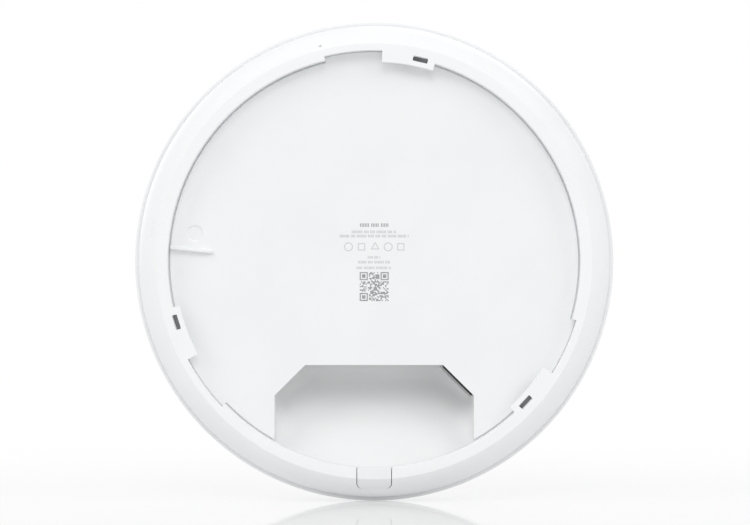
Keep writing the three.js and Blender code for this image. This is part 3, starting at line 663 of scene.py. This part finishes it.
# ---------- cable well ----------
def well_loop(grow, bottom_r, longest=2.2):
    """The well's outline, grown on three sides and closed at the bottom by an arc of its own radius."""
    shift = grow * math.tan(math.pi / 8)
    side_x, top_x = WELL_HALF + grow, WELL_HALF_TOP + shift
    reach = math.degrees(math.asin(side_x / bottom_r))
    corners = [Vector((top_x, WELL_TOP + grow)), Vector((-top_x, WELL_TOP + grow))]
    corners += [Vector((-side_x, WELL_CORNER + shift)), *arc(bottom_r, 180 + reach, 180 - reach, 1.4)]
    corners += [Vector((side_x, WELL_CORNER + shift))]
    return subdivided(corners, longest)


def floor_y(z):
    """How deep the well's floor lies at this height: it rises in an S-curve towards the rim."""
    share = min(1, max(0, (WELL_TOP - z) / (WELL_R + WELL_TOP)))
    return WELL_SHALLOW_Y + (WELL_DEEP_Y - WELL_SHALLOW_Y) * (0.5 + 0.5 * math.cos(math.pi * share))


def basin(name, grow, bottom_r, top_y, deeper, fillet):
    """A solid with the well's outline, a flat top and a floor that meets the walls in a fillet.

    The fillet is as high as it is wide where the well is deep, and flatter where it is shallow.
    """
    steps = 8
    turns = [math.radians(90 * i / steps) for i in range(steps + 1)]
    flat, heights, edges = [], [], []
    for a in turns:
        inset, lift = fillet * (1 - math.cos(a)), fillet * (1 - math.sin(a))
        ring = well_loop(grow - inset, bottom_r - inset)
        first = len(flat)
        flat += ring
        for p in ring:
            highest = WELL_FILLET_SHARE * (floor_y(p.y) - PLATE_THICK)
            heights.append(floor_y(p.y) + deeper - lift * min(1, highest / fillet))
        edges += [(first + i, first + (i + 1) % len(ring)) for i in range(len(ring))]
    inset = fillet + WELL_GRID_INSET
    inner = well_loop(grow - inset, bottom_r - inset)
    columns = [int(p.x // WELL_GRID.x) for p in inner]
    rows = [int(p.y // WELL_GRID.y) for p in inner]
    for i in range(min(columns), max(columns) + 2):
        for k in range(min(rows), max(rows) + 2):
            at = Vector((i * WELL_GRID.x, k * WELL_GRID.y))
            if inside(at, inner):
                flat.append(at)
                heights.append(floor_y(at.y) + deeper)
    found, _, faces, origins, _, _ = delaunay_2d_cdt(flat, edges, [], 1, 1e-4)
    points = [(p.x, heights[origins[i][0]], p.y) for i, p in enumerate(found)]
    rim_of = {origin: i for i, group in enumerate(origins) for origin in group}
    top = len(points)
    loop = well_loop(grow, bottom_r)
    points += [(p.x, top_y, p.y) for p in loop]
    n = len(loop)
    faces = [tuple(face) for face in faces]
    faces += [(rim_of[k], rim_of[(k + 1) % n], top + (k + 1) % n, top + k) for k in range(n)]
    faces += [tuple(range(top, top + n))]
    return new_object(name, points, faces)


JACK_AT = Vector(((WELL_HALF_TOP + WELL_HALF) / 2, 0, (WELL_TOP + WELL_CORNER) / 2))
IN_JACK_AXES = Matrix.Translation(JACK_AT) @ Matrix.Rotation(math.pi / 4, 4, "Y")
JACK_HALF = 7.8
JACK_FLANGE_HALF = 8.6
JACK_FLANGE_BACK = 0.35
JACK_Y = (3.1, 15.3)
JACK_LONG = 17
JACK_PROUD = 0.85
SILL_PROUD = 2.2
SILL_Y = 16
MOUTH_HALF = 5.9
MOUTH_Y = (5.2, 12.2)
MOUTH_DEEP = 13
KEY_HALF = 3.2
KEY_Y = 14


def jack_block(low, high, edge=0.15):
    """A block in the jack's own axes: X along the well's cut corner, Z into the housing."""
    return place(soft_block("jack block", low, high, edge), IN_JACK_AXES)


def build_well():
    """The tray, with its flange under the plate, a mouth for the jack and a sill under it."""
    plate_back = PLATE_THICK + GAP
    outer_r = WELL_R + WELL_WALL
    well = basin("well", WELL_WALL, outer_r, plate_back, WELL_WALL, WELL_FILLET + WELL_WALL)
    flange_levels = [(0, plate_back), (0, plate_back + WELL_WALL)]
    flange = layered("flange", well_loop(WELL_FLANGE, outer_r), flange_levels)
    end_wall = layered("end wall", well_loop(-GAP, outer_r), [(0, 0), (0, plate_back + 1)])
    join(well, flange, end_wall)
    cut(well, basin("hollow", 0, WELL_R, RIM_Y - 2, 0, WELL_FILLET))
    mouth_half = JACK_FLANGE_HALF + GAP
    cut(well, jack_block((-mouth_half, -3, -1), (mouth_half, JACK_Y[1] + 0.6, 9), 0.05))
    sill = jack_block((-JACK_FLANGE_HALF, SILL_Y, -SILL_PROUD), (JACK_FLANGE_HALF, WELL_DEEP_Y, 1), 0.3)
    join(well, sill)
    return piece(well, "cable_well_tray", "housing", well_plastic_with_shade, ["cable_well"], 40)


def build_jack():
    """The jack's housing with a flange round its face, and a mouth with a keyway for the plug's latch."""
    jack = jack_block((-JACK_HALF, JACK_Y[0], -JACK_PROUD + 0.05), (JACK_HALF, JACK_Y[1], JACK_LONG))
    flange_low = (-JACK_FLANGE_HALF, PLATE_THICK + GAP, -JACK_PROUD)
    flange_high = (JACK_FLANGE_HALF, JACK_Y[1] + 0.3, JACK_FLANGE_BACK)
    join(jack, jack_block(flange_low, flange_high))
    mouth = jack_block((-MOUTH_HALF, MOUTH_Y[0], -3), (MOUTH_HALF, MOUTH_Y[1], MOUTH_DEEP))
    keyway = jack_block((-KEY_HALF, MOUTH_Y[1] - 1, -3), (KEY_HALF, KEY_Y, MOUTH_DEEP - 3))
    cut(jack, mouth, keyway)
    return piece(jack, "jack_bezel", "housing", black_plastic, ["jack_housing"])


# ---------- back plate ----------
def stop_rib():
    """A rounded rib that ramps down to the plate at its inner end."""
    along = RIB_TO - RIB_FROM
    length = along.length
    steps, ring_steps = 28, 10
    points = []
    for i in range(steps + 1):
        s = length * i / steps
        ramp = min(1, max(0, (length - s) / RIB_RAMP))
        high = RIB_HIGH * (ramp * (2 - ramp)) ** RIB_EASE
        half = RIB_WIDE / 2 * (0.75 + 0.25 * ramp)
        for k in range(ring_steps + 1):
            a = math.pi * k / ring_steps
            flank = math.copysign(abs(math.cos(a)) ** RIB_POWER, math.cos(a))
            points.append((s, -high * math.sin(a) ** RIB_POWER, half * flank))
        points.append((s, 1, -half))
        points.append((s, 1, half))
    n = ring_steps + 3
    faces = [tuple(range(n)), tuple(range(steps * n, (steps + 1) * n))]
    for i in range(steps):
        here, there = i * n, (i + 1) * n
        faces += [(here + k, here + (k + 1) % n, there + (k + 1) % n, there + k) for k in range(n)]
    rib = new_object("rib", points, faces)
    turn = Matrix.Rotation(-math.atan2(along.y, along.x), 4, "Y")
    return place(rib, Matrix.Translation((RIB_FROM.x, 0, RIB_FROM.y)) @ turn)


def groove_profile():
    """A quarter round that takes the plate's edge down against the rim's wall."""
    turns = [math.radians(90 * i / 6) for i in range(7)]
    profile = [(SEAT_R - EDGE_GROOVE * math.cos(a), EDGE_GROOVE * math.sin(a)) for a in turns]
    return profile + [(SEAT_R + 0.2, EDGE_GROOVE), (SEAT_R + 0.2, -1), (SEAT_R - EDGE_GROOVE, -1)]


def cut_dimple(plate):
    """A shallow round dish with a soft edge and a rounded bottom."""
    rim_round, bottom_round = 0.15, 0.3
    levels = [(rim_round, -1)]
    levels += quarter(rim_round)
    levels += [(-back, DIMPLE_DEPTH - depth) for back, depth in reversed(quarter(bottom_round))]
    cut(plate, layered("dimple", disc(DIMPLE_AT, DIMPLE_R, 5), levels))


def add_post(plate, at):
    """A post for a board screw, with a flared foot and a bore in its end."""
    levels = [(0.6, 1), (0.6, 2.2), (0.2, 2.6), (0, 3.2), (0, board_low.y - GAP)]
    join(plate, layered("post", disc(at, POST_HALF, 10), levels))
    cut(plate, layered("bore", disc(at, BORE_R, 15), [(0, BORE_Y), (0, board_low.y + 1)]))


def build_plate():
    """The plate: a flange under the rim, and a seat that stands up between the rim's walls."""
    plate = turned("plate", [(0, GAP), (PLATE_R, GAP), (PLATE_R, PLATE_THICK), (0, PLATE_THICK)])
    join(plate, turned("seat", [(0, 0), (SEAT_R, 0), (SEAT_R, 1), (0, 1)]))
    cut(plate, turned("groove", groove_profile()))
    for turn in TAB_TURNS:
        loop = sector_loop(SEAT_R - 3, NOTCH_R - 0.3, NOTCH_FROM + turn, TAB_FROM + turn, (0, 0, 0, 0))
        join(plate, layered("notch floor", loop, [(0, 0), (0, 1)]))
        pocket = rim_box_loop(slot_spec(turn), TAB_SLOT_CORNER)
        cut(plate, layered("pocket", pocket, [(0, -1), (0, SLOT_FLOOR_Y)]))
    cut(plate, cutter(well_loop(0, PLATE_R + 5, 200), 0, PLATE_THICK + 1, 0.2))
    cut_dimple(plate)
    join(plate, stop_rib())
    cut(plate, layered("pin notch", disc(PIN_AT, PIN_NOTCH_R, 10), [(0, -1), (0, PLATE_THICK + 1)]))
    for bearing in POST_BEARINGS:
        add_post(plate, polar(POST_R, bearing))
    return piece(plate, "mounting_plate", "housing", plate_paint, ["back_plate"])


def build_slot_shade_floors():
    """Dark grey floors at the bottom of the slots in the tabs, each with a bevelled top: painted shade that
    stands in for the slots' dark depth.
    """
    outer_y = SLOT_FLOOR_Y - SLOT_FLOOR_THICK
    levels = [(-0.12, outer_y), (-0.03, outer_y + 0.08), (-0.03, SLOT_FLOOR_Y - 0.02)]
    for i, turn in enumerate(TAB_TURNS):
        floor = layered("slot floor", rim_box_loop(slot_spec(turn), TAB_SLOT_CORNER), levels)
        piece(floor, f"slot_shade_floor_{i + 1}", "housing", slot_shade_floor)


# ---------- generic print on the back plate ----------
PRINT_THICK = 0.03
PRINT_SUNK = 0.01
# height on the plate, width, height of the ticks, and whether the line is heavy
PRINT_LINES = (
    (15.5, 12.1, 1.5, True),
    (12.6, 19.1, 1.15, False),
    (10.8, 29.4, 1.15, False),
    (1.7, 5.5, 1.0, False),
    (-0.35, 13.6, 1.15, False),
    (-2.8, 15.0, 1.15, False),
)
# place along the row, radius and number of corners
PRINT_MARKS = ((-11, 1.9, 40), (-5.4, 2.2, 4), (0.4, 2.2, 3), (6, 1.9, 40), (11.4, 2.2, 4))
MARKS_Z = 6.2
MARK_LINE = 0.4
CODE_AT = (0, -10.8)
CODE_SIZE = 12.4
CODE_CELLS = 25
CODE_FILL = 0.47


def flat_tiles(tiles):
    """Thin raised tiles of ink, each a rectangle given by its middle and size."""
    points, faces = [], []
    for x, z, wide, high in tiles:
        first = len(points)
        x0, x1, z0, z1 = x - wide / 2, x + wide / 2, z - high / 2, z + high / 2
        for y in (-PRINT_THICK, PRINT_SUNK):
            points += [(x0, y, z0), (x1, y, z0), (x1, y, z1), (x0, y, z1)]
        faces += [(first, first + 1, first + 2, first + 3), (first + 4, first + 7, first + 6, first + 5)]
        for k in range(4):
            here, there = first + k, first + (k + 1) % 4
            faces += [(here, here + 4, there + 4, there)]
    return points, faces


def blank_line(rng, z, wide, high, heavy):
    """A line of plain even ticks, in groups, that stands where a line of small print would be."""
    tiles = []
    tick = high * (0.24 if heavy else 0.2)
    pitch = high * 0.46
    x = -wide / 2
    while x < wide / 2:
        for _ in range(rng.randint(4, 9)):
            if x + tick > wide / 2:
                break
            tiles.append((x + tick / 2, z, tick, high))
            x += pitch
        x += pitch
    return tiles


def code_square(rng, centre, size, cells):
    """A square of random cells that holds no message, with a plain square frame in three corners."""
    cell = size / cells
    frames = ((0, cells - 7), (cells - 7, cells - 7), (0, 0))

    def dark(column, row):
        for left, low in frames:
            ring = max(abs(column - left - 3), abs(row - low - 3))
            if ring <= 4:
                return ring in (0, 1, 3)
        return rng.random() < CODE_FILL

    tiles = []
    for row in range(cells):
        for column in range(cells):
            if dark(column, row):
                x = centre[0] + (column + 0.5) * cell - size / 2
                z = centre[1] + (row + 0.5) * cell - size / 2
                tiles.append((x, z, cell, cell))
    return tiles


def ring_mark(at, radius, corners):
    """The outline of a circle or a polygon. A square stands on its side, not on a corner."""
    turn = 45 if corners == 4 else 0
    loop = [at + polar(radius, 360 * i / corners + turn) for i in range(corners)][::-1]
    mark = layered("mark", loop, [(0, -PRINT_THICK), (0, PRINT_SUNK)])
    cut(mark, layered("inner", loop, [(-MARK_LINE, -1), (-MARK_LINE, 1)]))
    return mark


def build_print():
    """Lines of blank ticks, a row of plain marks and a square of random cells."""
    rng = random.Random(7)
    heavy_tiles, light_tiles = [], []
    for z, wide, high, heavy in PRINT_LINES:
        tiles = heavy_tiles if heavy else light_tiles
        tiles += blank_line(rng, z, wide, high, heavy)
    heavy_tiles += code_square(rng, CODE_AT, CODE_SIZE, CODE_CELLS)
    heavy_print = new_object("print", *flat_tiles(heavy_tiles))
    light_print = new_object("print", *flat_tiles(light_tiles))
    piece(heavy_print, "rear_print", "housing", ink)
    piece(light_print, "rear_small_print", "housing", light_ink)
    for i, (x, radius, corners) in enumerate(PRINT_MARKS):
        mark = ring_mark(Vector((x, MARKS_Z)), radius, corners)
        piece(mark, f"rear_mark_{i + 1}", "housing", pale_ink)


# ---------- front: cover, light ring and cap ----------
def dome(inset, hole_r, steps):
    """The cover's section, a superellipse from its edge to the hole for the light ring."""
    radius = OVERALL_R - inset
    high = FRONT_Y - DOME_Y - inset
    power = 2 / DOME_POWER
    last = math.acos((hole_r / radius) ** (DOME_POWER / 2))
    result = []
    for i in range(steps + 1):
        t = last * (i / steps) ** DOME_EASE
        result.append(Vector((radius * math.cos(t) ** power, DOME_Y + high * math.sin(t) ** power)))
    return result


def build_cover():
    """The domed shell, with a collar round the hole for the light ring and catches inside its edge."""
    hole_r = LIGHT_R + GAP
    collar_r = hole_r + COLLAR_WALL
    collar_y = FRONT_Y - COLLAR_DEEP
    outer_wall = dome(0, hole_r, 90)
    inner_wall = dome(SHELL, collar_r, 40)[::-1]
    corners = [(OVERALL_R - SHELL, COVER_Y), (OVERALL_R, COVER_Y), *outer_wall]
    corners += [(hole_r, collar_y), (collar_r, collar_y), *inner_wall]
    radii = [0] * len(corners)
    radii[0] = 0.2
    radii[1] = 0.35
    radii[1 + len(outer_wall)] = 0.3  # the edge round the light ring
    cover = turned("cover", rounded(corners, radii, 4))
    catch_top = LIP_Y - CATCH_HIGH - GAP
    for bearing in CATCH_BEARINGS:
        join(cover, snap_catch(bearing, LIP_R + GAP, OVERALL_R - SHELL + 0.5, COVER_Y, catch_top))
    return piece(cover, "dome_cover", "housing", cover_plastic, ["front_cover"])


def build_light_ring():
    """A thin-walled tube with a foot that sits over the status lights."""
    inner = LIGHT_R - LIGHT_WALL
    foot_r, foot_y = LIGHT_R + LIGHT_FOOT, light_low.y + LIGHT_FOOT_THICK
    corners = [(inner, light_low.y), (foot_r, light_low.y), (foot_r, foot_y), (LIGHT_R, foot_y)]
    corners += [(LIGHT_R, light_high.y), (inner, light_high.y)]
    ring = turned("ring", rounded(corners, [0.2, 0.3, 0.3, 0.5, 0.25, 0.25], 4), 180)
    return piece(ring, "light_ring", "housing", milky_plastic, ["light_guide"])


def build_cap():
    """A shallow cup that closes the light ring, a little lower than the ring."""
    cap_r = LIGHT_R - LIGHT_WALL - GAP
    inner = cap_r - CAP_SIDE
    top = FRONT_Y - CAP_SUNK
    bottom, under = FRONT_Y - CAP_DEEP, FRONT_Y - CAP_WALL
    corners = [(0, top), (cap_r, top + CAP_DISH), (cap_r, bottom)]
    corners += [(inner, bottom), (inner, under), (0, under)]
    cap = turned("cap", rounded(corners, [0, 0.4, 0.2, 0.2, 0.5, 0], 5), 180)
    return piece(cap, "ring_cap", "housing", cover_plastic, ["centre_cap"])


# ---------- pieces carried over from the frame ----------
CARRIED = {
    "white_plastic": rim_plastic,
    "white_paint": plate_paint,
    "light_plastic": milky_plastic,
    "black_plastic": black_plastic,
    "board_green": board_laminate,
    "tin_plate": tin_plate,
    "cast_aluminium": cast_aluminium,
    "gold_contact": gold_contact,
    "pad_grey": thermal_pad,
    "screw_steel": screw_steel,
}
EDGE_WIDEST = 0.25
EDGE_SHARE = 0.08  # of the node's smallest side


def finish_frame_nodes():
    """Gives every CAD node the material of its slot, and softens its edges."""
    slots = {entry["node"]: entry["material_slot"] for entry in frame["record"]["subparts"]}
    for name, obj in frame["nodes"].items():
        obj.data.materials.clear()
        obj.data.materials.append(CARRIED[slots[name]])
        low, high = box_mm(name)
        bevel = obj.modifiers.new("edges", "BEVEL")
        bevel.width = min(EDGE_WIDEST, EDGE_SHARE * min(high - low)) * MM
        bevel.segments = 2
        bevel.limit_method = "ANGLE"
        bevel.angle_limit = math.radians(40)
        weighted = obj.modifiers.new("weighted normals", "WEIGHTED_NORMAL")
        weighted.keep_sharp = True


# ---------- stage ----------
CAMERA_BACK = 1250
SENSOR = 36
VIEW_WIDE = 322.8  # how much of the plane of the rim's seam the view takes in
VIEW_CENTRE = (0.35, -0.5)
FLOOR_R = 0.5  # metres
FLOOR_CLEAR = 0.2  # the floor lies this far below the object
FLOOR_FADE = (0.13, 0.49)  # metres from the middle: where the floor starts to fade, and where it is gone
FLOOR_SOLIDITY = 0.68  # the white all round shines through the acrylic
AMBIENT = 0.7  # how strongly the white all round lights the object
SOFTBOX_AWAY = 2.5  # metres
# name, azimuth, elevation, size in metres, power in watts
SOFTBOXES = (
    ("key", 0, 37, 1.2, 10.2),
    ("left_fill", -60, 30, 1.2, 11.2),
    ("right_fill", 60, 30, 1.2, 9.5),
    ("front_side_key", 165, 32, 1.0, 6.5),
    ("front_side_fill", 215, 15, 1.2, 5),
)
WITHOUT_GLINT = ("left_fill", "right_fill")  # these would mirror as hard discs in the floor


def studio_floor():
    """White acrylic that takes shadows and reflections, and fades out into the white all round."""
    m = Nodes("studio_floor")
    m.link(m.spread(m.noise(3, 2), 0.04, 0.06), m.shader.inputs["Roughness"])
    m.set(Base_Color=(0.86, 0.86, 0.86, 1), Specular_IOR_Level=0.4)
    length = m.add("ShaderNodeVectorMath", operation="LENGTH")
    m.link(m.coords, length.inputs[0])
    distance = length.outputs["Value"]
    m.link(m.spread(distance, FLOOR_SOLIDITY, 0, *FLOOR_FADE, "SMOOTHSTEP"), m.shader.inputs["Alpha"])
    return m.material


def studio_world():
    """White all round to the eye and in reflections, and dimmer as a light, so the lamps model the form."""
    world = bpy.data.worlds.new("studio")
    world.use_nodes = True
    tree = world.node_tree
    paths = tree.nodes.new("ShaderNodeLightPath")
    seen = tree.nodes.new("ShaderNodeMath")
    seen.operation = "MAXIMUM"
    tree.links.new(paths.outputs["Is Camera Ray"], seen.inputs[0])
    tree.links.new(paths.outputs["Is Glossy Ray"], seen.inputs[1])
    strength = tree.nodes.new("ShaderNodeMapRange")
    strength.inputs["To Min"].default_value = AMBIENT
    strength.inputs["To Max"].default_value = 1.0
    tree.links.new(seen.outputs["Value"], strength.inputs["Value"])
    background = tree.nodes["Background"]
    background.inputs["Color"].default_value = (1, 1, 1, 1)
    tree.links.new(strength.outputs["Result"], background.inputs["Strength"])
    return world


def softbox(name, azimuth, elevation, size, power):
    """A round soft lamp aimed at the object. Azimuth 0 is on the camera's side, facing the mounting side."""
    around, up = math.radians(azimuth), math.radians(elevation)
    flat = SOFTBOX_AWAY * math.cos(up)
    at = Vector((flat * math.sin(around), -flat * math.cos(around), SOFTBOX_AWAY * math.sin(up)))
    light = bpy.data.lights.new(name, "AREA")
    light.shape = "DISK"
    light.size = size
    light.energy = power
    obj = bpy.data.objects.new(name, light)
    obj.location = at
    obj.visible_glossy = name not in WITHOUT_GLINT
    obj.rotation_euler = (-at).to_track_quat("-Z", "Y").to_euler()
    bpy.context.scene.collection.objects.link(obj)


def build_floor():
    mesh = bpy.data.meshes.new("studio_floor")
    floor = bpy.data.objects.new("studio_floor", mesh)
    height = (-OVERALL_R - FLOOR_CLEAR) * MM
    points = [(p.x, p.y, height) for p in disc(Vector((0, 0)), FLOOR_R, 3)]
    mesh.from_pydata(points, [], [tuple(range(len(points)))])
    mesh.materials.append(studio_floor())
    bpy.context.scene.collection.objects.link(floor)


def build_camera():
    lens = bpy.data.cameras.new("camera")
    lens.sensor_width = SENSOR
    lens.lens = SENSOR * (CAMERA_BACK + SEAM_Y) / VIEW_WIDE
    lens.clip_start = 0.01
    lens.clip_end = 50
    camera = bpy.data.objects.new("camera", lens)
    camera.location = (VIEW_CENTRE[0] * MM, -CAMERA_BACK * MM, VIEW_CENTRE[1] * MM)
    camera.rotation_euler = (math.pi / 2, 0, 0)
    bpy.context.scene.collection.objects.link(camera)
    bpy.context.scene.camera = camera


def build_stage():
    build_floor()
    bpy.context.scene.world = studio_world()
    for spec in SOFTBOXES:
        softbox(*spec)
    build_camera()
    bpy.context.scene.view_settings.view_transform = "Standard"


build_stage()
build_rim()
build_gate()
build_well()
build_jack()
build_plate()
build_slot_shade_floors()
build_print()
build_cover()
build_light_ring()
build_cap()
finish_frame_nodes()
